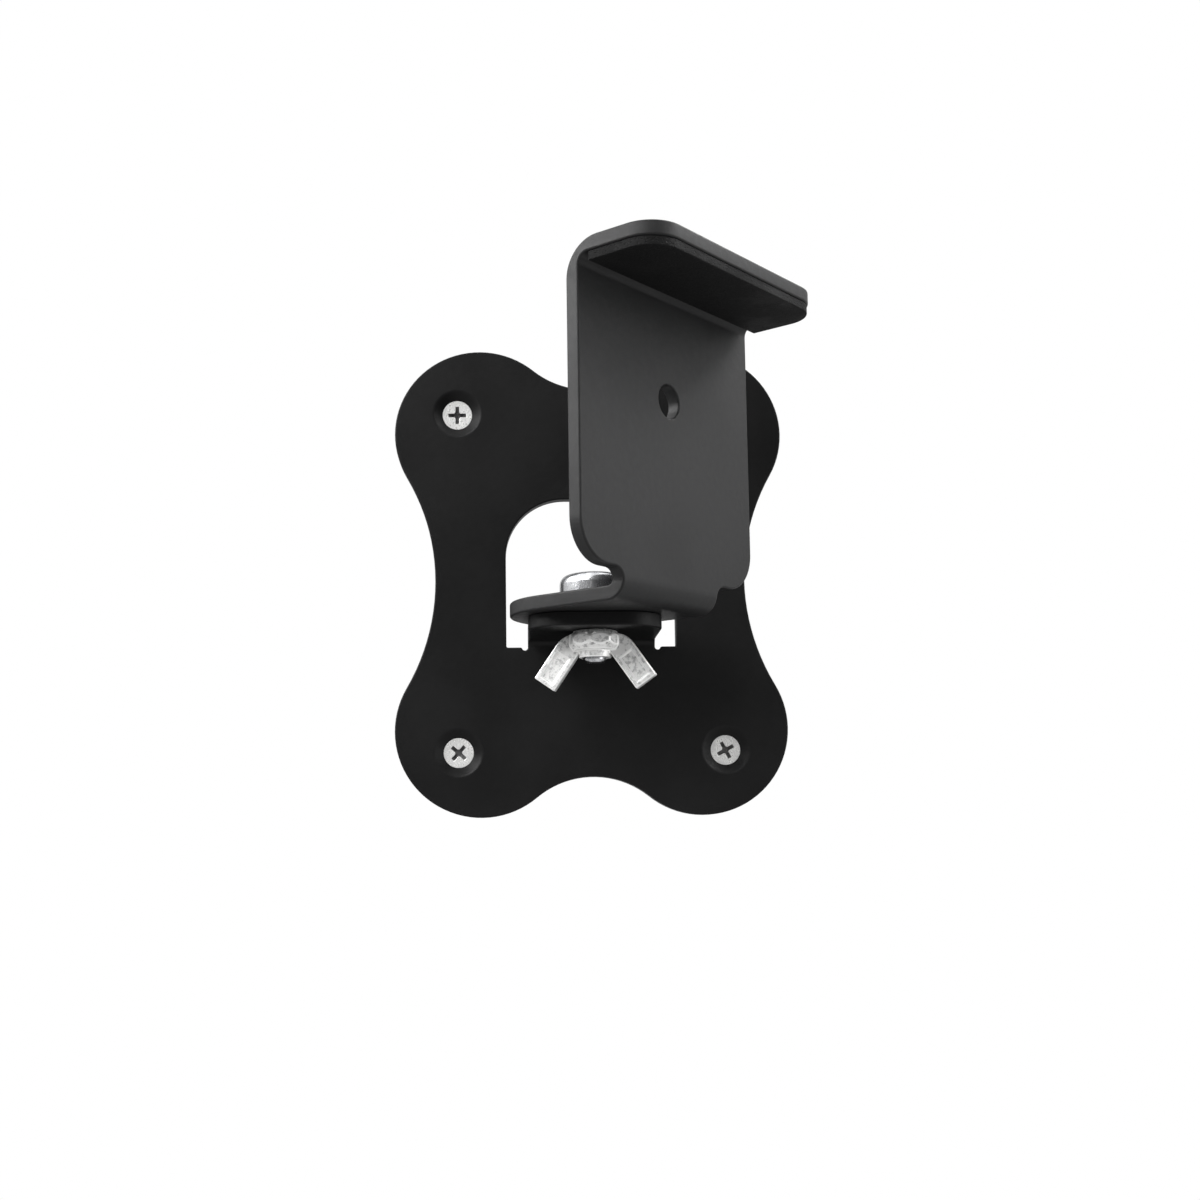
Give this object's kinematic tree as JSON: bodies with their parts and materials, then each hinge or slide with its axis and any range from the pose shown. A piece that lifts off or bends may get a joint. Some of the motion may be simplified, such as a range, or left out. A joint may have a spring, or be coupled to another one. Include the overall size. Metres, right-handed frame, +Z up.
{
  "type": "speaker wall bracket",
  "caption": "Folded-steel wall plate with a forward tab, and a swivelling Z-shaped arm with a padded top flange, clamped by a carriage bolt and wing nut.",
  "frame": {"origin": "middle of the wall plate's rear face, which is also the middle of the four wall screws", "axes": "+Y goes into the wall, +X to the right as seen from the room, +Z up"},
  "size_m": [0.0944, 0.0913, 0.1165],
  "materials": {
    "plate_coat": "satin black powder coat",
    "arm_coat": "satin dark grey powder coat",
    "black_rubber": "matt black rubber, fine pores",
    "bolt_chrome": "bright plated",
    "nut_zinc": "bright zinc, mottled",
    "screw_zinc": "bright zinc plate"
  },
  "bodies": {
    "plate_body": {"wall_plate": "plate_coat", "wall_screw_top_left": "screw_zinc", "wall_screw_top_right": "screw_zinc", "wall_screw_bottom_left": "screw_zinc", "wall_screw_bottom_right": "screw_zinc"},
    "arm_body": {"arm": "arm_coat", "rubber_pad": "black_rubber", "carriage_bolt": "bolt_chrome"},
    "nut_body": {"wing_nut": "nut_zinc"}
  },
  "joints": [
    {"name": "arm_swivel", "type": "hinge", "parent": "plate_body", "child": "arm_body", "pos_m": [0, -0.02, -0.011], "axis": [0, 0, 1], "range_deg": [-105.5, 8.5]},
    {"name": "wing_nut_turn", "type": "hinge", "parent": "arm_body", "child": "nut_body", "pos_m": [0, -0.02, -0.0165], "axis": [0, 0, 1], "range_deg": [-360, 0]}
  ]
}
